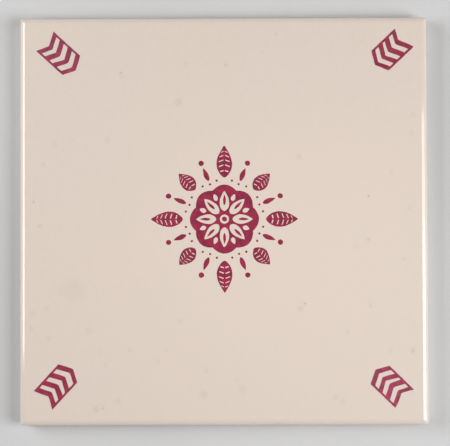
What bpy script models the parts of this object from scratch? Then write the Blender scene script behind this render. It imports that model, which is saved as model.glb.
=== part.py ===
"""Square glazed ceramic tile with a cushion edge and a keyed back.

It is fired as one piece, so it is one solid. Metres, +Z up. The tile lies flat with
its glazed face up, and the origin is the centre of its underside.
"""

import math

import bmesh
import bpy
from mathutils import Matrix, Vector

# Outer size
SIDE = 0.1524
THICKNESS = 0.0079

# Rounded edge around the glazed face, and the small one around the underside
CUSHION_WIDTH = 0.0024
CUSHION_DROP = 0.0019
ARRIS = 0.0004
CORNER_POWER = 4.5  # 2 would round each corner to a circle, and a higher power squares it

# Shallow square keys pressed into the underside
KEYS_ACROSS = 10
KEY_PITCH = 0.0140
RIB_WIDTH = 0.0026
KEY_DEPTH = 0.0006
KEY_DRAFT = 0.0004

# Facets along each curve
CORNER_STEPS = 8
CUSHION_STEPS = 7
ARRIS_STEPS = 2

# Glaze finish, as linear colour
CREAM = (0.738, 0.638, 0.552, 1.0)
GLAZE_ROUGHNESS = 0.12

QUARTER_TURN = math.pi / 2


def clear_scene():
    for old in list(bpy.data.objects):
        bpy.data.objects.remove(old, do_unlink=True)


def quarter_angles(steps):
    """Angles from 0 to a quarter turn, both included."""
    return [QUARTER_TURN * step / steps for step in range(steps + 1)]


def outline(inset):
    """Points of the tile's plan, set in from its side, anticlockwise.

    Each corner is a quarter of a superellipse. All the outlines share its centre, so
    the corner shrinks to a point where the cushion edge meets the flat face.
    """
    centre = SIDE / 2 - CUSHION_WIDTH
    reach = CUSHION_WIDTH - inset
    corner = []
    for angle in quarter_angles(CORNER_STEPS):
        x = centre + reach * math.cos(angle) ** (2 / CORNER_POWER)
        y = centre + reach * math.sin(angle) ** (2 / CORNER_POWER)
        corner.append(Vector((x, y, 0)))
    points = []
    for quarter in range(4):
        turn = Matrix.Rotation(quarter * QUARTER_TURN, 3, "Z")
        points += [turn @ point for point in corner]
    return points


def side_profile():
    """(inset, height) pairs from the underside's edge up to the flat face."""
    profile = []
    for angle in quarter_angles(ARRIS_STEPS):
        profile.append((ARRIS * (1 - math.sin(angle)), ARRIS * (1 - math.cos(angle))))
    shoulder = THICKNESS - CUSHION_DROP
    for angle in quarter_angles(CUSHION_STEPS):
        inset = CUSHION_WIDTH * (1 - math.cos(angle))
        profile.append((inset, shoulder + CUSHION_DROP * math.sin(angle)))
    return profile


def add_ring(bm, inset, height):
    """One outline at a height, as a closed loop of edges."""
    verts = [bm.verts.new((point.x, point.y, height)) for point in outline(inset)]
    return [bm.edges.new((a, b)) for a, b in zip(verts, verts[1:] + verts[:1])]


def add_walls(bm):
    """Sides, cushion edge and flat face, with one band between each ring and the next."""
    rings = [add_ring(bm, inset, height) for inset, height in side_profile()]
    for lower, upper in zip(rings, rings[1:]):
        bmesh.ops.bridge_loops(bm, edges=lower + upper)
    bmesh.ops.contextual_create(bm, geom=rings[-1])


def add_keys(bm):
    """A grid of squares pressed into the underside, with flat ribs between them."""
    half = KEYS_ACROSS * KEY_PITCH / 2
    grid = bmesh.ops.create_grid(
        bm, x_segments=KEYS_ACROSS, y_segments=KEYS_ACROSS, size=half
    )
    faces = list({face for vert in grid["verts"] for face in vert.link_faces})
    bmesh.ops.reverse_faces(bm, faces=faces)
    bmesh.ops.inset_individual(bm, faces=faces, thickness=RIB_WIDTH / 2)
    bmesh.ops.inset_individual(bm, faces=faces, thickness=KEY_DRAFT, depth=-KEY_DEPTH)


def add_key_border(bm):
    """The flat border between the outermost keys and the underside's edge."""
    open_edges = [edge for edge in bm.edges if edge.is_boundary]
    bmesh.ops.triangle_fill(bm, use_beauty=True, edges=open_edges, normal=(0, 0, -1))


def make_glaze():
    glaze = bpy.data.materials.new("cream_glaze")
    glaze.use_nodes = True
    shader = glaze.node_tree.nodes["Principled BSDF"]
    shader.inputs["Base Color"].default_value = CREAM
    shader.inputs["Metallic"].default_value = 0.0
    shader.inputs["Roughness"].default_value = GLAZE_ROUGHNESS
    glaze.diffuse_color = CREAM
    return glaze


def make_tile():
    bm = bmesh.new()
    add_walls(bm)
    add_keys(bm)
    add_key_border(bm)
    bmesh.ops.remove_doubles(bm, verts=bm.verts, dist=1e-6)
    bmesh.ops.recalc_face_normals(bm, faces=bm.faces)
    mesh = bpy.data.meshes.new("tile")
    bm.to_mesh(mesh)
    bm.free()
    mesh.shade_smooth()
    mesh.set_sharp_from_angle(angle=math.radians(30))
    mesh.materials.append(make_glaze())
    tile = bpy.data.objects.new("tile", mesh)
    bpy.context.scene.collection.objects.link(tile)


clear_scene()
make_tile()
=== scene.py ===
"""Looks of a square glazed ceramic tile with marks printed in maroon ink.

The tile lies flat, face up. Its finish is built around the frame's solid: a biscuit
body with a keyed back, a coat of cream glaze over its face and sides, the printed
marks and a few specks fired into the glaze. Lengths are in metres, and +Z is up.
"""

import math

import bmesh
import bpy
import numpy as np
from mathutils import Euler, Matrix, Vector


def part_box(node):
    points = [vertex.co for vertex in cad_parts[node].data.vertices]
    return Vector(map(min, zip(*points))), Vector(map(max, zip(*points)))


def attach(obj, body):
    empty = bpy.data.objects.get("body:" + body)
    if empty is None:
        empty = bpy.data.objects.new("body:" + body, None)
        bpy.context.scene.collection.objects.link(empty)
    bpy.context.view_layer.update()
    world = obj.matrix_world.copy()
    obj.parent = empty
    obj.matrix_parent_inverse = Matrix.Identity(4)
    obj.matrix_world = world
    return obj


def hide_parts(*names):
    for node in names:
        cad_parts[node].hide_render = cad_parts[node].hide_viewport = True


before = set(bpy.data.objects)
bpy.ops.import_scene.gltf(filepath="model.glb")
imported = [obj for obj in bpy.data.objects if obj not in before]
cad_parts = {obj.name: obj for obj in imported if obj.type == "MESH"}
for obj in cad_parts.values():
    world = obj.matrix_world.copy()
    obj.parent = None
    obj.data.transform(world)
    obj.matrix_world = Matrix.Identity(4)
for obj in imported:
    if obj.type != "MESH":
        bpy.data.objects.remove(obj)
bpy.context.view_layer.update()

# The solid that the looks are built on
tile_low, tile_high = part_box("tile")
HALF = (tile_high.x - tile_low.x) / 2
THICKNESS = tile_high.z - tile_low.z

# Rounded edge of the face, and the small one of the underside
CUSHION_WIDTH = 0.0024
CUSHION_DROP = 0.0019
CORNER_POWER = 4.5
ARRIS = 0.0004
SHOULDER = THICKNESS - CUSHION_DROP
CORE = HALF - CUSHION_WIDTH

# Keys pressed into the underside
KEYS_ACROSS = 10
KEY_PITCH = 0.0140
RIB_WIDTH = 0.0026
KEY_DEPTH = 0.0006
KEY_DRAFT = 0.0004

# Coat of glaze
BISCUIT_INSET = 0.00016
GLAZE_INNER = 0.00030
SIDE_THINNING = 0.00006
GLAZE_LINE = 0.0021
GLAZE_BEAD = 0.00045
# Height, turns round the tile and start of each wave along the glaze's lower edge
LINE_WAVES = ((0.00042, 3, 0.4), (0.00030, 7, 2.1), (0.00016, 17, 1.2), (0.00010, 41, 0.3))
# Height, length, heading and start of each wave across the face
FACE_WAVES = (
    (0.000010, 0.047, 0.5, 0.3),
    (0.000007, 0.031, 1.9, 1.4),
    (0.000004, 0.018, 2.7, 2.2),
)
FACE_WAVE_FADE = 0.008
# How fast the coat thins below the shoulder, against its way down to the glaze's lower edge
THINNING_PACE = 3

# Film of ink: how far it stands proud of the face, and how far it reaches into the glaze
INK_RISE = 0.000030
INK_SINK = 0.000020
# Height, length, heading and start of each wave in its cut edges
CUT_WOBBLE = (
    (0.000028, 0.0047, 0.7, 0.2),
    (0.000024, 0.0031, 2.2, 1.7),
    (0.000016, 0.0017, 1.3, 0.9),
)

# Corner marks, no two alike. Each has its tail's place, its heading in degrees and how far
# forward the tail slants to its right and left, in millimetres. Then come the distances
# from the tail at which its four bars begin and end, in millimetres too, first in its
# right half and then in its left. They follow what scratch scripts measured on the
# photograph, rounded by hand.
CORNER_MARKS = {
    "print_top_left": (
        (-0.06674, 0.06735, -42.2, 0.10, 0.15),
        (-0.30, 1.60, 3.30, 5.45, 7.25, 9.20, 11.55, 13.35),
        (-0.40, 1.45, 3.20, 5.25, 7.25, 9.35, 11.25, 13.20),
    ),
    "print_top_right": (
        (0.06762, 0.06820, -136.8, 0.05, 0.45),
        (-0.05, 1.60, 3.45, 5.55, 6.70, 8.75, 10.50, 12.20),
        (-0.95, 1.15, 3.00, 5.20, 6.95, 8.85, 10.60, 12.35),
    ),
    "print_bottom_left": (
        (-0.06729, -0.06654, 47.3, -0.45, 0.45),
        (-0.15, 1.80, 3.35, 5.55, 7.15, 9.15, 11.60, 13.35),
        (-0.55, 1.65, 3.25, 5.35, 7.20, 9.30, 11.25, 13.35),
    ),
    "print_bottom_right": (
        (0.06714, -0.06642, 135.8, -0.30, 0.70),
        (0.10, 1.65, 3.35, 5.55, 6.80, 8.80, 10.75, 12.70),
        (-0.55, 1.35, 3.25, 5.35, 7.15, 8.95, 10.80, 12.75),
    ),
}
# Widths of a mark's right and left halves, of which the right one is slightly narrower
MARK_RIGHT = 0.00485
MARK_LEFT = 0.00496
# How far a bar's edge rises from the mark's side to its middle
MARK_FOLD = 0.0025
# How much further than that each edge rises, in millimetres, turned about the middle of its
# half. They are rounded by hand from a scratch script's least-squares fit.
STEEPER_RIGHT = (0.10, 0.05, 0.15, -0.10, 0.50, 0.25, 0.30, 0.30)
STEEPER_LEFT = (0.0, -0.20, -0.05, -0.12, 0.25, -0.10, 0.0, -0.15)
MARK_SIDE_LINE = 0.00083
MARK_TIP_ROUND = 0.00024
# Columns of a mark's half, as shares of its width, up to its side line
MARK_COLUMNS = (0, 0.02, 0.04, 0.07, 0.10, 0.15, 0.22, 0.35, 0.5, 0.65, 0.8)

# Maroon of each print, as linear colour, set from mean colours of ink in the photograph
INK_COLOURS = {
    "print_top_left": (0.318, 0.051, 0.098),
    "print_top_right": (0.309, 0.037, 0.077),
    "print_bottom_left": (0.324, 0.036, 0.077),
    "print_bottom_right": (0.358, 0.049, 0.099),
    "print_centre": (0.309, 0.029, 0.069),
}
# How far the ink's mottle takes its red, green and blue below and above that, as shares
INK_MOTTLE = (0.24, 0.08, 0.15)

# Centre rosette: a scalloped medallion with reserved petals and drops, and a wreath of leaves
# around it. Starts and ends are radii from its centre, and a half is half of a width.
ROSETTE_CENTRE = (0.0003, 0.0006)
PETALS = 8
DOT_RADIUS = 0.0009
HUB_BORE = 0.0017
PETAL_START = 0.0030
PETAL_END = 0.0106
PETAL_HALF = 0.0018
SEED_START = 0.0052
SEED_END = 0.0092
SEED_HALF = 0.00050
DROP_START = 0.0074
DROP_END = 0.0101
DROP_HALF = 0.00085
MEDALLION_RADIUS = 0.0115
SCALLOP_RISE = 0.0014
BEAD_RING_RADIUS = 0.0147
BEAD_RING_DIP = 0.0006  # how much nearer the middle bead of each three stands
BEAD_RADIUS = 0.00042
LEAF_START = 0.0155
LEAF_ENDS = (0.0275, 0.0240)  # long and short leaves, by turns
LEAF_HALVES = (0.0029, 0.0027)
LEAF_FOLD = 0.0011
DART_START = 0.0154
DART_END = 0.0206
DART_HALF = 0.0009
OUTER_DOT_PLACE = 0.0226
OUTER_DOT_RADIUS = 0.0010
# Powers of a reserved shape's and a leaf's outline: the first moves its widest place
# towards its start, and the second fills its sides out
RESERVE_POWERS = (0.8, 0.8)
LEAF_POWERS = (0.8, 0.85)
# Hatches of a leaf: how many, where they begin and the stretch that they take along it and
# each one's width, as shares of its length, then where they run across its half width
HATCHES = 5
HATCH_START = 0.16
HATCH_STRETCH = 0.74
HATCH_WIDTH = 0.034
HATCH_INNER = 0.12
HATCH_MIDDLE = 0.42
HATCH_OUTER = 0.72
# Rows of cells near a leaf's base and tip, as shares of its length
LEAF_BASE_ROWS = (0, 0.02, 0.05, 0.1)
LEAF_TIP_ROWS = (0.95, 0.98, 1.0)

# Specks in the glaze: how far each one's middle rises over its rim, how far its rim stands
# proud of the face, its rings as shares of its radius, and the heights of the two waves and
# the three waves around its rim, as shares of its radius too
SPECK_DOME = 0.000012
SPECK_RIM = 0.000002
SPECK_RINGS = (0, 0.6, 1.0)
TWO_WAVES = 0.22
THREE_WAVES = 0.1
# Place and radius of each speck. The places were picked by eye on the photograph, and six
# of them were then moved by offsets that a scratch script printed.
SPECKS = (
    (-0.0384, 0.0557, 0.00019),
    (0.0009, 0.0585, 0.00013),
    (0.0542, 0.0090, 0.00021),
    (0.0540, -0.0073, 0.00014),
    (0.0302, -0.0310, 0.00024),
    (0.0547, -0.0318, 0.00011),
    (0.0672, -0.0145, 0.00008),
    (0.0703, -0.0490, 0.00013),
    (-0.0452, -0.0697, 0.00017),
    (-0.0675, 0.0213, 0.00010),
    (-0.0711, 0.0074, 0.00018),
    (-0.0688, -0.0018, 0.00014),
)
# Painted light: a pool of light painted into the coat's colour, paler towards the middle of the face.
# Place, reach and share
PAINTED_LIGHT_MIDDLE = (0.016, -0.014, 0.105, 0.66)
# Faint halo around each speck: radius and share of grey
HALO_RADIUS = 0.0009
HALO_SHARE = 0.11
# Where a smudge or halo begins to fade and where it ends, as shares of its radius
SMUDGE_CORE = 0.3
SMUDGE_RIM = 1.5
# Smudges on the glaze: place, radius and share of grey. Fifteen of the places are just as a
# scratch script printed them, which finds dark marks in the photograph by itself.
SMUDGES = (
    (-0.0560, -0.0257, 0.0043, 0.09),
    (-0.0608, -0.0262, 0.0018, 0.05),
    (-0.0169, 0.0446, 0.0015, 0.19),
    (-0.0141, 0.0588, 0.0009, 0.08),
    (0.0145, 0.0631, 0.0009, 0.07),
    (0.0197, 0.0698, 0.0009, 0.11),
    (-0.0434, 0.0306, 0.0012, 0.12),
    (-0.0378, 0.0540, 0.0014, 0.10),
    (-0.0631, 0.0285, 0.0010, 0.12),
    (0.0282, 0.0238, 0.0012, 0.13),
    (0.0711, 0.0396, 0.0013, 0.10),
    (0.0705, 0.0326, 0.0011, 0.08),
    (0.0629, 0.0177, 0.0010, 0.10),
    (0.0695, 0.0043, 0.0010, 0.08),
    (0.0492, -0.0100, 0.0015, 0.07),
    (0.0284, -0.0329, 0.0012, 0.17),
    (0.0460, -0.0415, 0.0010, 0.10),
    (0.0702, -0.0482, 0.0012, 0.15),
    (0.0619, -0.0485, 0.0011, 0.07),
    (0.0413, -0.0660, 0.0010, 0.14),
    (0.0441, -0.0672, 0.0012, 0.11),
    (0.0068, -0.0628, 0.0017, 0.12),
    (0.0048, -0.0592, 0.0010, 0.07),
    (-0.0067, -0.0561, 0.0009, 0.10),
    (-0.0076, -0.0648, 0.0016, 0.16),
    (-0.0214, -0.0483, 0.0008, 0.11),
    (-0.0246, -0.0522, 0.0008, 0.10),
    (-0.0164, -0.0375, 0.0011, 0.10),
    (-0.0351, -0.0481, 0.0011, 0.10),
    (-0.0396, -0.0670, 0.0011, 0.14),
    (-0.0479, -0.0702, 0.0013, 0.17),
    (-0.0442, -0.0536, 0.0010, 0.08),
    (-0.0461, -0.0489, 0.0012, 0.07),
    (-0.0506, -0.0410, 0.0014, 0.10),
    (-0.0655, -0.0436, 0.0012, 0.13),
    (-0.0663, -0.0326, 0.0009, 0.12),
    (-0.0716, -0.0343, 0.0012, 0.11),
    (-0.0719, -0.0399, 0.0010, 0.10),
)

# Camera, fitted to the photograph's view of the tile
CAMERA_TARGET = (0.00048, -0.00080, SHOULDER)
CAMERA_TURN = (1.72, 0.49, -0.19)  # degrees about X, Y and Z, from straight down
CAMERA_DISTANCE = 0.60
CAMERA_LENS = 128.1
SENSOR_WIDTH = 36.0

# Softboxes: place, the point that each faces, width, height and power
SOFTBOXES = {
    "left_softbox": ((-0.527, 0.135, 0.397), (-HALF, 0.135, 0.0), 0.432, 0.34, 3.05),
    "right_softbox": ((0.512, -0.125, 0.480), (HALF, -0.125, 0.0), 0.46, 0.537, 3.04),
    "right_softbox_front": ((0.469, -0.080, 0.427), (HALF, -0.080, 0.0), 0.19, 0.52, 1.12),
}
# The room around: its colour, its strength at eye level and overhead, and the rise between them
ROOM_COLOUR = (0.97, 0.98, 1.0, 1)
ROOM_AT_EYE_LEVEL = 0.85
ROOM_OVERHEAD = 0.07
ROOM_RISE = 0.55
FLOOR_REACH = 3.0

# Points along each curve
CORNER_POINTS = 11
KEY_SLOPE_POINTS = 7
BODY_EDGE_POINTS = 13
BODY_SIDE_POINTS = 6
ARRIS_POINTS = 6
COAT_STATIONS = 81
COAT_FACE_POINTS = 43
COAT_EDGE_POINTS = 19
COAT_SIDE_POINTS = 11
COAT_LIP_POINTS = 8
COAT_INNER_SIDE_POINTS = 2
COAT_INNER_EDGE_POINTS = 8
PETAL_POINTS = 25
DROP_POINTS = 13
SECTOR_STEPS = 6
PLAIN_LEAF_POINTS = 15
DOT_POINTS = 20
SMALL_DOT_POINTS = 12

FULL_TURN = 2 * math.pi
QUARTER_TURN = math.pi / 2
MERGE_DISTANCE = 2e-7
SHARP_ANGLE = math.radians(35)
# Decimal places that the medallion's radii and angles keep, and the slack in comparing radii
PLACES = 9
SLACK = 1e-8


def smooth_step(x):
    """0 below 0, 1 above 1, and 3x^2 - 2x^3 between them."""
    x = np.clip(x, 0.0, 1.0)
    return x * x * (3 - 2 * x)


def crossing_waves(x, y, waves):
    """Sum of straight sine waves, each running along its own heading."""
    total = np.zeros_like(x)
    for height, length, heading, start in waves:
        along = x * math.cos(heading) + y * math.sin(heading)
        total += height * np.sin(FULL_TURN * along / length + start)
    return total


def face_height(x, y):
    """Height of the glazed face: its level plus long low waves that fade out before the edge."""
    inset = HALF - np.maximum(np.abs(x), np.abs(y))
    fade = smooth_step((inset - CUSHION_WIDTH) / FACE_WAVE_FADE)
    return THICKNESS + fade * crossing_waves(x, y, FACE_WAVES)


def perimeter(stations):
    """Base points on a square of half side 1, and the way that each one moves out from it.

    Points stand at the stations along each side and move straight out. Those at a
    corner share it as their base and fan out along a quarter of a superellipse.
    """
    angle = np.linspace(0, QUARTER_TURN, CORNER_POINTS)
    fan = np.stack([np.cos(angle), np.sin(angle)], 1).clip(0) ** (2 / CORNER_POWER)
    inner = stations[1:-1]
    base = np.concatenate([np.stack([np.ones_like(inner), inner], 1), np.ones((len(fan), 2))])
    out = np.concatenate([np.tile((1.0, 0.0), (len(inner), 1)), fan])
    bases, outs = [], []
    for _ in range(4):
        bases.append(base)
        outs.append(out)
        base = np.stack([-base[:, 1], base[:, 0]], 1)
        out = np.stack([-out[:, 1], out[:, 0]], 1)
    return np.concatenate(bases), np.concatenate(outs)


def carry_round(inset, height, stations):
    """A profile of insets and heights carried round the tile: an array of profile by perimeter points.

    Inside the cushion edge an inset shrinks the square. Within it, the point moves out
    from the square's side or corner by what is left of the cushion's width.
    """
    base, out = perimeter(stations)
    shape = (len(inset), len(base))
    inset = np.broadcast_to(inset.reshape(len(inset), -1), shape)[..., None]
    height = np.broadcast_to(height.reshape(len(height), -1), shape)
    shrunk = (HALF - inset) * base
    moved = CORE * base + (CUSHION_WIDTH - inset) * out
    plan = np.where(inset > CUSHION_WIDTH, shrunk, moved)
    return np.concatenate([plan, height[..., None]], 2)


def grid_faces(rows, columns, wrap=False, first=0):
    """Quads of a grid of points, which are numbered row by row from first.

    If the grid wraps, its last column is joined to its first.
    """
    index = first + np.arange(rows * columns).reshape(rows, columns)
    if wrap:
        index = np.hstack([index, index[:, :1]])
    corners = (index[:-1, :-1], index[:-1, 1:], index[1:, 1:], index[1:, :-1])
    return np.stack(corners, -1).reshape(-1, 4)


def closed_piece(name, points, faces):
    """A mesh object from points and quads, with coincident points merged and its faces turned outwards.

    Points that no quad uses are left out, and so are edges that a merged quad leaves behind.
    """
    mesh = bpy.data.meshes.new(name)
    mesh.from_pydata(points.tolist(), [], faces.tolist())
    bm = bmesh.new()
    bm.from_mesh(mesh)
    bmesh.ops.remove_doubles(bm, verts=bm.verts, dist=MERGE_DISTANCE)
    bare_edges = [edge for edge in bm.edges if not edge.link_faces]
    bmesh.ops.delete(bm, geom=bare_edges, context="EDGES")
    bare_points = [vert for vert in bm.verts if not vert.link_faces]
    bmesh.ops.delete(bm, geom=bare_points, context="VERTS")
    bmesh.ops.recalc_face_normals(bm, faces=bm.faces)
    bm.to_mesh(mesh)
    bm.free()
    mesh.shade_smooth()
    mesh.set_sharp_from_angle(angle=SHARP_ANGLE)
    piece = bpy.data.objects.new(name, mesh)
    bpy.context.scene.collection.objects.link(piece)
    return piece


def key_stations():
    """Stations across the keyed back, as shares of its half width.

    A cell runs from the middle of one rib to the middle of the next, and its second half
    mirrors its first. Its stations are close together where the key's side slopes.
    """
    rib = RIB_WIDTH / 2
    on_rib = rib * np.array([0.0, 0.8, 1.0])
    on_slope = rib + KEY_DRAFT * np.linspace(0, 1, KEY_SLOPE_POINTS)[1:]
    in_key = [rib + 2 * KEY_DRAFT, KEY_PITCH / 3.2]
    half_cell = np.concatenate([on_rib, on_slope, in_key])
    cell = np.concatenate([half_cell, [KEY_PITCH / 2], KEY_PITCH - half_cell[:0:-1]])
    starts = np.arange(KEYS_ACROSS) * KEY_PITCH
    across = np.append((starts[:, None] + cell).ravel(), KEYS_ACROSS * KEY_PITCH)
    return across / (KEYS_ACROSS * KEY_PITCH / 2) - 1


def key_rise(across):
    """Share of a key's depth at each place: 0 on a rib, 1 inside a key, and a smooth slope between them."""
    from_rib = np.abs((across + KEY_PITCH / 2) % KEY_PITCH - KEY_PITCH / 2)
    return smooth_step((from_rib - RIB_WIDTH / 2) / KEY_DRAFT)


def make_biscuit():
    """The body: a profile carried round the tile, closed below by a height field.

    The profile runs from the middle of the hidden top, over the cushion edge, down the
    side, round the arris and in to the keys. The height field is the key depth times
    its rise along X times its rise along Y.
    """
    stations = key_stations()
    round_edge = np.linspace(QUARTER_TURN, 0, BODY_EDGE_POINTS)
    side = np.linspace(SHOULDER, ARRIS, BODY_SIDE_POINTS)[1:-1]
    arris = np.linspace(0, QUARTER_TURN, ARRIS_POINTS)
    keyed_half = KEYS_ACROSS * KEY_PITCH / 2
    inset = np.concatenate([
        [HALF, HALF / 2],
        BISCUIT_INSET + (CUSHION_WIDTH - BISCUIT_INSET) * (1 - np.cos(round_edge)),
        np.full(len(side), BISCUIT_INSET),
        BISCUIT_INSET + ARRIS * (1 - np.cos(arris)),
        [HALF - keyed_half],
    ])
    height = np.concatenate([
        np.full(2, THICKNESS - BISCUIT_INSET),
        SHOULDER + (CUSHION_DROP - BISCUIT_INSET) * np.sin(round_edge),
        side,
        ARRIS * (1 - np.sin(arris)),
        [0.0],
    ])
    shell = carry_round(inset, height, stations)
    across = stations * keyed_half
    x, y = np.meshgrid(across, across, indexing="ij")
    z = KEY_DEPTH * np.outer(key_rise(across), key_rise(across))
    back = np.dstack([x, y, z])
    points = np.concatenate([shell.reshape(-1, 3), back.reshape(-1, 3)])
    faces = np.concatenate([
        grid_faces(*shell.shape[:2], wrap=True),
        grid_faces(*back.shape[:2], first=shell.shape[0] * shell.shape[1]),
    ])
    return closed_piece("tile_body", points, faces)


def glaze_line(count):
    """Heights of the glaze's lower edge: a level plus sine waves that close after one turn."""
    around = FULL_TURN * np.arange(count) / count
    line = np.full(count, GLAZE_LINE)
    for rise, turns, start in LINE_WAVES:
        line += rise * np.sin(turns * around + start)
    return line


def glaze_profile(line):
    """Insets and heights of the coat, with a row for each point of its profile.

    It runs from the middle of the face, over the cushion edge, down the side to a
    rounded bead, and back up inside the body to the middle. The side thins out below
    the shoulder, and a bell curve of the height swells it again at the bead.
    """
    face = np.linspace(HALF, CUSHION_WIDTH, COAT_FACE_POINTS + 1)[:-1]
    rows = [(inset, THICKNESS) for inset in face]
    for angle in np.linspace(QUARTER_TURN, 0, COAT_EDGE_POINTS):
        inset = CUSHION_WIDTH * (1 - math.cos(angle))
        rows.append((inset, SHOULDER + CUSHION_DROP * math.sin(angle)))
    for share in np.linspace(0, 1, COAT_SIDE_POINTS + 1)[1:]:
        height = SHOULDER + (line - SHOULDER) * share
        swell = np.exp(-(((height - line) / GLAZE_BEAD) ** 2))
        thinning = SIDE_THINNING * smooth_step(THINNING_PACE * share) * (1 - swell)
        rows.append((thinning, height))
    lip_radius = GLAZE_INNER / 2
    for angle in np.linspace(0, math.pi, COAT_LIP_POINTS + 1)[1:]:
        rows.append((lip_radius * (1 - math.cos(angle)), line - lip_radius * math.sin(angle)))
    for share in np.linspace(0, 1, COAT_INNER_SIDE_POINTS + 2)[1:-1]:
        rows.append((GLAZE_INNER, line + (SHOULDER - line) * share))
    for angle in np.linspace(0, QUARTER_TURN, COAT_INNER_EDGE_POINTS):
        inset = GLAZE_INNER + (CUSHION_WIDTH - GLAZE_INNER) * (1 - math.cos(angle))
        rows.append((inset, SHOULDER + (CUSHION_DROP - GLAZE_INNER) * math.sin(angle)))
    rows += [(inset, THICKNESS - GLAZE_INNER) for inset in (HALF / 2, HALF)]
    inset = np.array([np.broadcast_to(row[0], len(line)) for row in rows])
    height = np.array([np.broadcast_to(row[1], len(line)) for row in rows])
    return inset, height


def make_glaze():
    """The coat: one closed shell, its profile carried round the tile, with low waves over its face."""
    stations = np.linspace(-1, 1, COAT_STATIONS)
    count = len(perimeter(stations)[0])
    inset, height = glaze_profile(glaze_line(count))
    shell = carry_round(inset, height, stations)
    face = shell[:COAT_FACE_POINTS]
    face[..., 2] = face_height(face[..., 0], face[..., 1])
    return closed_piece("glaze_coat", shell.reshape(-1, 3), grid_faces(*shell.shape[:2], wrap=True))


def film(x, y, keep, wrap=False):
    """Points and quads of a film on the face, from a grid of places and a mask of the cells that hold it.

    Its top and bottom are the kept cells at two heights over the face, and a wall
    stands wherever a kept cell has no kept neighbour. A smooth wobble of the plan gives
    its edges the look of a hand-cut screen.
    """
    rows, columns = x.shape
    wobble_x = crossing_waves(x, y, CUT_WOBBLE)
    wobble_y = crossing_waves(y, -x, CUT_WOBBLE)
    x, y = x + wobble_x, y + wobble_y
    level = face_height(x, y)
    top = np.dstack([x, y, level + INK_RISE]).reshape(-1, 3)
    bottom = np.dstack([x, y, level - INK_SINK]).reshape(-1, 3)
    quads = grid_faces(rows, columns, wrap)
    kept = keep.ravel()
    faces = [quads[kept], quads[kept][:, ::-1] + rows * columns]
    around = np.pad(keep, 1)
    if wrap:
        around[1:-1, 0] = keep[:, -1]
        around[1:-1, -1] = keep[:, 0]
    neighbours = (around[:-2, 1:-1], around[1:-1, 2:], around[2:, 1:-1], around[1:-1, :-2])
    for side, neighbour in enumerate(neighbours):
        bare = quads[(keep & ~neighbour).ravel()]
        a, b = bare[:, side], bare[:, (side + 1) % 4]
        faces.append(np.stack([b, a, a + rows * columns, b + rows * columns], 1))
    return np.concatenate([top, bottom]), np.concatenate(faces)


def join_films(name, films):
    """One piece from several films."""
    starts = np.cumsum([0] + [len(points) for points, _ in films[:-1]])
    points = np.concatenate([points for points, _ in films])
    faces = np.concatenate([faces + start for (_, faces), start in zip(films, starts)])
    return closed_piece(name, points, faces)


def make_corner_mark(name, place, right_edges, left_edges):
    """Four chevron bars joined by two side lines.

    In the mark's own plan, v runs across it from -1 to 1. A bar's edge is the lower of
    two straight lines, which rise from its right and left sides to the middle, and a
    smooth minimum rounds their tip. Each line rises by the fold and by its own
    steepening, which turns it about the middle of its half. The tail slants by the
    square of v. Cells between two bars and within the side lines are left out.
    """
    x, y, heading, right_slant, left_slant = place
    lines = np.arange(2 * len(left_edges) - 1) / 2
    numbers = range(len(left_edges))
    right, left, right_tilt, left_tilt = (
        np.interp(lines, numbers, values)[:, None] / 1000
        for values in (right_edges, left_edges, STEEPER_RIGHT, STEEPER_LEFT)
    )
    half = np.array([*MARK_COLUMNS, 1 - MARK_SIDE_LINE / MARK_LEFT, 1])
    v = np.concatenate([-half[:0:-1], half])[None, :]
    at_tail = (lines == 0)[:, None] / 1000
    right = right + MARK_FOLD * (1 + v) + right_tilt * (0.5 + v) + at_tail * right_slant * v**2
    left = left + MARK_FOLD * (1 - v) + left_tilt * (0.5 - v) + at_tail * left_slant * v**2
    along = (right + left - np.sqrt((right - left) ** 2 + MARK_TIP_ROUND**2)) / 2
    across = np.where(v < 0, MARK_RIGHT, MARK_LEFT) * v
    turn = math.radians(heading)
    plan_x = x + along * math.cos(turn) - across * math.sin(turn)
    plan_y = y + along * math.sin(turn) + across * math.cos(turn)
    # A bar is two rows of cells, and so is the gap after it
    inked = np.arange(len(lines) - 1) % 4 < 2
    in_side_line = np.isin(np.arange(v.size - 1), (0, v.size - 2))
    return join_films(name, [film(plan_x, plan_y, inked[:, None] | in_side_line[None, :])])


def polar(radius, angle):
    """Plan of the rosette's own radius and angle."""
    return (
        ROSETTE_CENTRE[0] + radius * np.cos(angle),
        ROSETTE_CENTRE[1] + radius * np.sin(angle),
    )


def reserve_half_angle(radius, start, end, half_width):
    """Half the angle of a reserved shape at a radius.

    Its half width is a power of a sine that runs once from its start to its end.
    """
    lean, fullness = RESERVE_POWERS
    share = np.clip((radius - start) / (end - start), 0, 1)
    return half_width * np.sin(math.pi * share**lean) ** fullness / radius


def rows_within(radius, start, end):
    """Which rows of cells lie between two radii, as a column."""
    within = (radius[:-1] >= start - SLACK) & (radius[1:] <= end + SLACK)
    return within[:, None]


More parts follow.
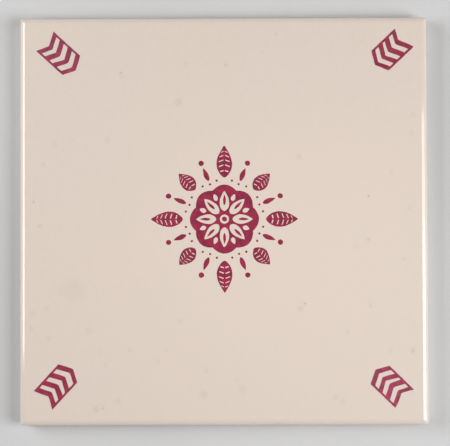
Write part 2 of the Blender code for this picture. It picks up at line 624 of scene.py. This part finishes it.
def medallion_film():
    """The medallion with its reserved petals and, between their tips, reserved drops.

    The grid runs over the radius and over each sector's angle. A sector's columns fill
    half a petal, the ink beside it, a drop, the ink beyond it and the next half petal,
    so they follow the outlines of both. The rim's radius is a level plus the size of a
    cosine, which gives one scallop to each petal.
    """
    hub = [HUB_BORE, (HUB_BORE + PETAL_START) / 2]
    petal_rows = np.linspace(PETAL_START, PETAL_END, PETAL_POINTS)
    drop_rows = np.linspace(DROP_START, DROP_END, DROP_POINTS)
    radius = np.concatenate([hub, petal_rows, drop_rows, [MEDALLION_RADIUS]])
    radius = np.unique(np.round(radius, PLACES))
    sector = FULL_TURN / PETALS
    petal, drop = (
        np.round(reserve_half_angle(radius, *shape), PLACES)[:, None]
        for shape in ((PETAL_START, PETAL_END, PETAL_HALF), (DROP_START, DROP_END, DROP_HALF))
    )
    ink = sector / 2 - petal - drop
    steps = np.linspace(0, 1, SECTOR_STEPS + 1)[:-1]
    columns = np.hstack([
        petal * steps,
        petal + ink * steps,
        sector / 2 - drop + 2 * drop * steps,
        sector / 2 + drop + ink * steps,
        sector - petal + petal * steps,
    ])
    angle = np.hstack([columns + sector * number for number in range(PETALS)])
    scallop = SCALLOP_RISE * np.abs(np.cos(PETALS / 2 * angle[-1:]))
    reach = radius[:, None] + scallop * (radius[:, None] == radius[-1])
    x, y = polar(reach, angle)

    part = np.repeat(["petal", "ink", "drop", "ink", "petal"], SECTOR_STEPS)
    in_petal = rows_within(radius, PETAL_START, PETAL_END) & np.tile(part == "petal", PETALS)
    in_drop = rows_within(radius, DROP_START, DROP_END) & np.tile(part == "drop", PETALS)
    return film(x, y, ~in_petal & ~in_drop, wrap=True)


def round_film(radius, from_centre, heading, points=DOT_POINTS):
    """A round dot on the rosette, as a grid of radius and angle about its own middle."""
    rings = np.linspace(0, radius, 3)
    around = FULL_TURN * np.arange(points) / points
    r, a = np.meshgrid(rings, around, indexing="ij")
    x, y = polar(from_centre, heading)
    keep = np.ones((len(rings) - 1, points), bool)
    return film(x + r * np.cos(a), y + r * np.sin(a), keep, wrap=True)


def plain_leaf():
    """Stations t along a leaf and v across it, and a mask that keeps every cell."""
    t = np.linspace(0, 1, PLAIN_LEAF_POINTS)
    v = np.linspace(-1, 1, 5)
    return t, v, np.ones((len(t) - 1, len(v) - 1), bool)


def hatched_leaf():
    """Stations t along a leaf and v across it, and a mask that leaves its hatches out.

    Each hatch is a thin row of cells between the leaf's rib and its border.
    """
    pitch = HATCH_STRETCH / HATCHES
    starts = HATCH_START + pitch * np.arange(HATCHES)
    ends = starts + HATCH_WIDTH
    between = ends[:-1] + (pitch - HATCH_WIDTH) / 2
    t = np.unique(np.concatenate([LEAF_BASE_ROWS, starts, ends, between, LEAF_TIP_ROWS]))
    half = np.array([0, HATCH_INNER, HATCH_MIDDLE, HATCH_OUTER, 1])
    v = np.concatenate([-half[:0:-1], half])
    cell = np.abs(v[:-1] + v[1:]) / 2
    open_columns = (cell > HATCH_INNER) & (cell < HATCH_OUTER)
    open_rows = np.isin(t[:-1], starts)
    return t, v, ~(open_rows[:, None] & open_columns[None, :])


def leaf_film(stations, start, end, half_width, heading, fold=0.0):
    """A pointed leaf along a radius of the rosette, on the stations that it is given.

    Its half width is a power of a sine of t, the share of the way from its start to its
    end, and a line of equal t is folded forward in the middle.
    """
    t, v, keep = stations
    t, v = np.meshgrid(t, v, indexing="ij")
    lean, fullness = LEAF_POWERS
    swell = np.sin(math.pi * t**lean).clip(0) ** fullness
    along = start + (end - start) * t + fold * (1 - np.abs(v)) * np.sin(math.pi * t)
    across = half_width * v * swell
    x = ROSETTE_CENTRE[0] + along * math.cos(heading) - across * math.sin(heading)
    y = ROSETTE_CENTRE[1] + along * math.sin(heading) + across * math.cos(heading)
    return film(x, y, keep)


def make_rosette():
    """The centre print: the medallion in a ring of beads, with leaves, darts and dots around it."""
    sector = FULL_TURN / PETALS
    films = [medallion_film(), round_film(DOT_RADIUS, 0.0, 0.0)]
    for number in range(PETALS):
        heading = number * sector
        between = heading + sector / 2
        leaf_end = LEAF_ENDS[number % 2]
        leaf_half = LEAF_HALVES[number % 2]
        films.append(leaf_film(plain_leaf(), SEED_START, SEED_END, SEED_HALF, heading))
        films.append(leaf_film(hatched_leaf(), LEAF_START, leaf_end, leaf_half, heading, LEAF_FOLD))
        films.append(leaf_film(plain_leaf(), DART_START, DART_END, DART_HALF, between))
        films.append(round_film(OUTER_DOT_RADIUS, OUTER_DOT_PLACE, between))
        for side in (-1, 0, 1):
            ring = BEAD_RING_RADIUS - BEAD_RING_DIP * (side == 0)
            turn = between + side * sector / 4
            films.append(round_film(BEAD_RADIUS, ring, turn, SMALL_DOT_POINTS))
    return join_films("print_centre", films)


def make_specks():
    """Specks of iron in the glaze: low domes over discs.

    A disc's radius is a level plus two sines of the angle, which start at another angle
    on each speck. The dome is a parabola of the share of the way to the rim.
    """
    around = FULL_TURN * np.arange(SMALL_DOT_POINTS) / SMALL_DOT_POINTS
    share, angle = np.meshgrid(SPECK_RINGS, around, indexing="ij")
    films = []
    for number, (x, y, radius) in enumerate(SPECKS):
        rim = 1 + TWO_WAVES * np.sin(2 * angle + number)
        rim += THREE_WAVES * np.sin(3 * angle + 2 * number)
        reach = share * radius * rim
        plan_x = x + reach * np.cos(angle)
        plan_y = y + reach * np.sin(angle)
        level = face_height(plan_x, plan_y)
        dome = np.dstack([plan_x, plan_y, level + SPECK_DOME * (1 - share**2) + SPECK_RIM])
        base = np.dstack([plan_x, plan_y, level - INK_SINK])
        shell = np.concatenate([dome, base[::-1]])
        films.append((shell.reshape(-1, 3), grid_faces(*shell.shape[:2], wrap=True)))
    return join_films("glaze_specks", films)


def add_node(tree, kind, inputs=None, **settings):
    """A shader node with its settings, whose inputs are given as values or as other nodes' outputs."""
    made = tree.nodes.new(kind)
    for name, value in settings.items():
        setattr(made, name, value)
    for name, value in (inputs or {}).items():
        if isinstance(value, bpy.types.NodeSocket):
            tree.links.new(value, made.inputs[name])
        else:
            made.inputs[name].default_value = value
    return made


def new_material(name):
    """An empty material with its shader and the object's own coordinates."""
    material = bpy.data.materials.new(name)
    material.use_nodes = True
    tree = material.node_tree
    shader = tree.nodes["Principled BSDF"]
    place = add_node(tree, "ShaderNodeTexCoord").outputs["Object"]
    return material, tree, shader, place


def noise(tree, place, scale, detail=2.0, roughness=0.5, distortion=0.0):
    """A noise pattern's value at each point."""
    values = {"Vector": place, "Scale": scale, "Detail": detail}
    values.update({"Roughness": roughness, "Distortion": distortion})
    return add_node(tree, "ShaderNodeTexNoise", values).outputs["Fac"]


def spread(tree, value, low, high, to_low=0.0, to_high=1.0):
    """The value's range from low to high, stretched to another range with smooth ends."""
    values = {"Value": value, "From Min": low, "From Max": high, "To Min": to_low, "To Max": to_high}
    return add_node(tree, "ShaderNodeMapRange", values, interpolation_type="SMOOTHSTEP").outputs["Result"]


def blend_colour(tree, share, first, second):
    """A mix of two colours, each given as a value or as an output."""
    mix = add_node(tree, "ShaderNodeMix", data_type="RGBA")
    sockets = {socket.identifier: socket for socket in mix.inputs}
    for identifier, value in (("Factor_Float", share), ("A_Color", first), ("B_Color", second)):
        if isinstance(value, bpy.types.NodeSocket):
            tree.links.new(value, sockets[identifier])
        else:
            sockets[identifier].default_value = value
    return next(socket for socket in mix.outputs if socket.identifier == "Result_Color")


def bump(tree, height, strength, distance, normal=None):
    """A normal bent by a height, on top of another bump's normal if one is given."""
    values = {"Height": height, "Strength": strength, "Distance": distance}
    if normal is not None:
        values["Normal"] = normal
    return add_node(tree, "ShaderNodeBump", values).outputs["Normal"]


def distance_from(tree, place, x, y):
    """How far each point lies from a place on the face."""
    values = {0: place, 1: (x, y, THICKNESS)}
    return add_node(tree, "ShaderNodeVectorMath", values, operation="DISTANCE").outputs["Value"]


def glaze_material():
    """Cream glaze: faint clouds of warmer and pinker cream, scuffs, grey smudges, orange peel and painted
    light, a paler pool over the middle of the face.
    """
    material, tree, shader, place = new_material("cream_glaze")
    warmer = (0.751, 0.6365, 0.5505, 1)
    pinker = (0.737, 0.6355, 0.5585, 1)
    grainy = (0.754, 0.649, 0.566, 1)
    scuffed = (0.60, 0.53, 0.47, 1)
    # paler is painted light: the colour of the painted pool of light over the middle of the face
    paler = (0.816, 0.692, 0.600, 1)
    smudged = (0.443, 0.370, 0.305, 1)
    clouds = spread(tree, noise(tree, place, scale=16.0, detail=3.0), 0.35, 0.65)
    cream = blend_colour(tree, clouds, warmer, pinker)
    grain = spread(tree, noise(tree, place, scale=700.0, detail=3.0, roughness=0.6), 0.3, 0.7)
    cream = blend_colour(tree, grain, cream, grainy)
    worn = noise(tree, place, scale=75.0, detail=4.0, roughness=0.65, distortion=0.6)
    cream = blend_colour(tree, spread(tree, worn, 0.62, 0.78, 0.0, 0.22), cream, scuffed)
    # Painted light: the coat is painted paler towards the middle of the face, as a pool of light
    x, y, reach, share = PAINTED_LIGHT_MIDDLE
    middle = spread(tree, distance_from(tree, place, x, y), 0.0, reach, share, 0.0)
    cream = blend_colour(tree, middle, cream, paler)
    halos = tuple((x, y, HALO_RADIUS, HALO_SHARE) for x, y, _ in SPECKS)
    for x, y, radius, share in SMUDGES + halos:
        away = distance_from(tree, place, x, y)
        smudge = spread(tree, away, SMUDGE_CORE * radius, SMUDGE_RIM * radius, share, 0.0)
        cream = blend_colour(tree, smudge, cream, smudged)
    tree.links.new(cream, shader.inputs["Base Color"])
    smear = noise(tree, place, scale=40.0, detail=5.0, roughness=0.6, distortion=1.0)
    tree.links.new(spread(tree, smear, 0.45, 0.75, 0.07, 0.13), shader.inputs["Roughness"])
    peel = bump(tree, noise(tree, place, scale=330.0), strength=0.2, distance=0.00002)
    pores = add_node(tree, "ShaderNodeTexVoronoi", {"Vector": place, "Scale": 420.0}).outputs["Distance"]
    pits = bump(tree, spread(tree, pores, 0.05, 0.12), strength=0.3, distance=0.00001, normal=peel)
    tree.links.new(pits, shader.inputs["Normal"])
    shader.inputs["IOR"].default_value = 1.65
    return material


def ink_material(name):
    """Maroon ink: its print's colour, mottled, with pinholes and a slightly duller gloss than the glaze."""
    material, tree, shader, place = new_material(name)
    darker = [level * (1 - share) for level, share in zip(INK_COLOURS[name], INK_MOTTLE)]
    lighter = [level * (1 + share) for level, share in zip(INK_COLOURS[name], INK_MOTTLE)]
    thinner = (0.52, 0.12, 0.16, 1)
    mottle = spread(tree, noise(tree, place, scale=420.0, detail=4.0, roughness=0.65), 0.35, 0.68)
    maroon = blend_colour(tree, mottle, (*darker, 1), (*lighter, 1))
    pinholes = spread(tree, noise(tree, place, scale=1500.0), 0.62, 0.80, 0.0, 0.35)
    maroon = blend_colour(tree, pinholes, maroon, thinner)
    tree.links.new(maroon, shader.inputs["Base Color"])
    dull = spread(tree, noise(tree, place, scale=300.0, detail=3.0), 0.3, 0.7, 0.20, 0.32)
    tree.links.new(dull, shader.inputs["Roughness"])
    tooth = noise(tree, place, scale=2600.0, detail=3.0, roughness=0.6)
    tree.links.new(bump(tree, tooth, strength=0.3, distance=0.00001), shader.inputs["Normal"])
    return material


def biscuit_material():
    """Fired clay: buff with pale grain, brown flecks and a dusty, slightly stained surface."""
    material, tree, shader, place = new_material("buff_biscuit")
    buff = (0.670, 0.585, 0.475, 1)
    pale = (0.800, 0.740, 0.650, 1)
    dusty = (0.600, 0.520, 0.425, 1)
    brown = (0.36, 0.26, 0.18, 1)
    grain = spread(tree, noise(tree, place, scale=1800.0, detail=4.0, roughness=0.7), 0.3, 0.7)
    clay = blend_colour(tree, grain, buff, pale)
    dust = noise(tree, place, scale=35.0, detail=5.0, roughness=0.6, distortion=0.5)
    clay = blend_colour(tree, spread(tree, dust, 0.40, 0.72, 0.0, 0.35), clay, dusty)
    flecks = spread(tree, noise(tree, place, scale=900.0, detail=1.5), 0.70, 0.76, 0.0, 0.55)
    clay = blend_colour(tree, flecks, clay, brown)
    tree.links.new(clay, shader.inputs["Base Color"])
    shader.inputs["Roughness"].default_value = 0.88
    fine = noise(tree, place, scale=2400.0, detail=5.0, roughness=0.7)
    tooth = bump(tree, fine, strength=0.6, distance=0.00005)
    coarse = noise(tree, place, scale=260.0, detail=3.0)
    lumps = bump(tree, coarse, strength=0.4, distance=0.00012, normal=tooth)
    tree.links.new(lumps, shader.inputs["Normal"])
    return material


def speck_material():
    """Iron specks: brown, uneven and as glossy as the glaze over them."""
    material, tree, shader, place = new_material("iron_speck")
    dark_brown = (0.31, 0.245, 0.195, 1)
    pale_brown = (0.47, 0.39, 0.32, 1)
    uneven = spread(tree, noise(tree, place, scale=3500.0, detail=3.0), 0.3, 0.7)
    brown = blend_colour(tree, uneven, dark_brown, pale_brown)
    tree.links.new(brown, shader.inputs["Base Color"])
    shader.inputs["Roughness"].default_value = 0.15
    return material


def floor_material():
    """A plain pale table top with a faint unevenness."""
    material, tree, shader, place = new_material("pale_table")
    grey = (0.60, 0.60, 0.60, 1)
    paler = (0.63, 0.63, 0.63, 1)
    uneven = spread(tree, noise(tree, place, scale=9.0, detail=3.0), 0.3, 0.7)
    tree.links.new(blend_colour(tree, uneven, grey, paler), shader.inputs["Base Color"])
    shader.inputs["Roughness"].default_value = 0.8
    return material


def finish_piece(piece, material):
    """The piece's material, body, node and slot."""
    piece.data.materials.append(material)
    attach(piece, "root")
    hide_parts("tile")


def make_floor():
    """A wide level sheet that the tile lies on."""
    corners = [(-1, -1), (1, -1), (1, 1), (-1, 1)]
    points = [(x * FLOOR_REACH, y * FLOOR_REACH, 0) for x, y in corners]
    mesh = bpy.data.meshes.new("table")
    mesh.from_pydata(points, [], [(0, 1, 2, 3)])
    floor = bpy.data.objects.new("table", mesh)
    bpy.context.scene.collection.objects.link(floor)
    floor.data.materials.append(floor_material())


def make_camera():
    """The camera looks down on the tile, leaning a little as in the photograph."""
    data = bpy.data.cameras.new("camera")
    data.sensor_fit = "HORIZONTAL"
    data.sensor_width = SENSOR_WIDTH
    data.lens = CAMERA_LENS
    camera = bpy.data.objects.new("camera", data)
    turn = Euler([math.radians(angle) for angle in CAMERA_TURN], "XYZ")
    camera.rotation_euler = turn
    camera.location = Vector(CAMERA_TARGET) + turn.to_matrix() @ Vector((0, 0, CAMERA_DISTANCE))
    bpy.context.scene.collection.objects.link(camera)
    bpy.context.scene.camera = camera


def add_softbox(name, place, target, width, height, power):
    """A rectangular lamp at a place, turned to face a target."""
    data = bpy.data.lights.new(name, "AREA")
    data.shape = "RECTANGLE"
    data.size = width
    data.size_y = height
    data.energy = power
    lamp = bpy.data.objects.new(name, data)
    lamp.location = place
    lamp.rotation_euler = (Vector(target) - Vector(place)).to_track_quat("-Z", "Y").to_euler()
    bpy.context.scene.collection.objects.link(lamp)


def make_lights():
    """Softboxes to the left and to the right, in a room that is pale at eye level and dim overhead.

    The right one is brighter over part of its width, which a second lamp just before it gives.
    """
    for name, values in SOFTBOXES.items():
        add_softbox(name, *values)
    world = bpy.data.worlds.new("surround")
    bpy.context.scene.world = world
    world.use_nodes = True
    tree = world.node_tree
    surround = tree.nodes["Background"]
    surround.inputs["Color"].default_value = ROOM_COLOUR
    direction = add_node(tree, "ShaderNodeTexCoord").outputs["Generated"]
    height = add_node(tree, "ShaderNodeSeparateXYZ", {"Vector": direction}).outputs["Z"]
    strength = spread(tree, height, 0.0, ROOM_RISE, ROOM_AT_EYE_LEVEL, ROOM_OVERHEAD)
    tree.links.new(strength, surround.inputs["Strength"])


make_camera()
make_lights()
make_floor()
finish_piece(make_biscuit(), biscuit_material())
finish_piece(make_glaze(), glaze_material())
for name, (place, right_edges, left_edges) in CORNER_MARKS.items():
    finish_piece(make_corner_mark(name, place, right_edges, left_edges), ink_material(name))
finish_piece(make_rosette(), ink_material("print_centre"))
finish_piece(make_specks(), speck_material())
bpy.context.scene.view_settings.view_transform = "Standard"
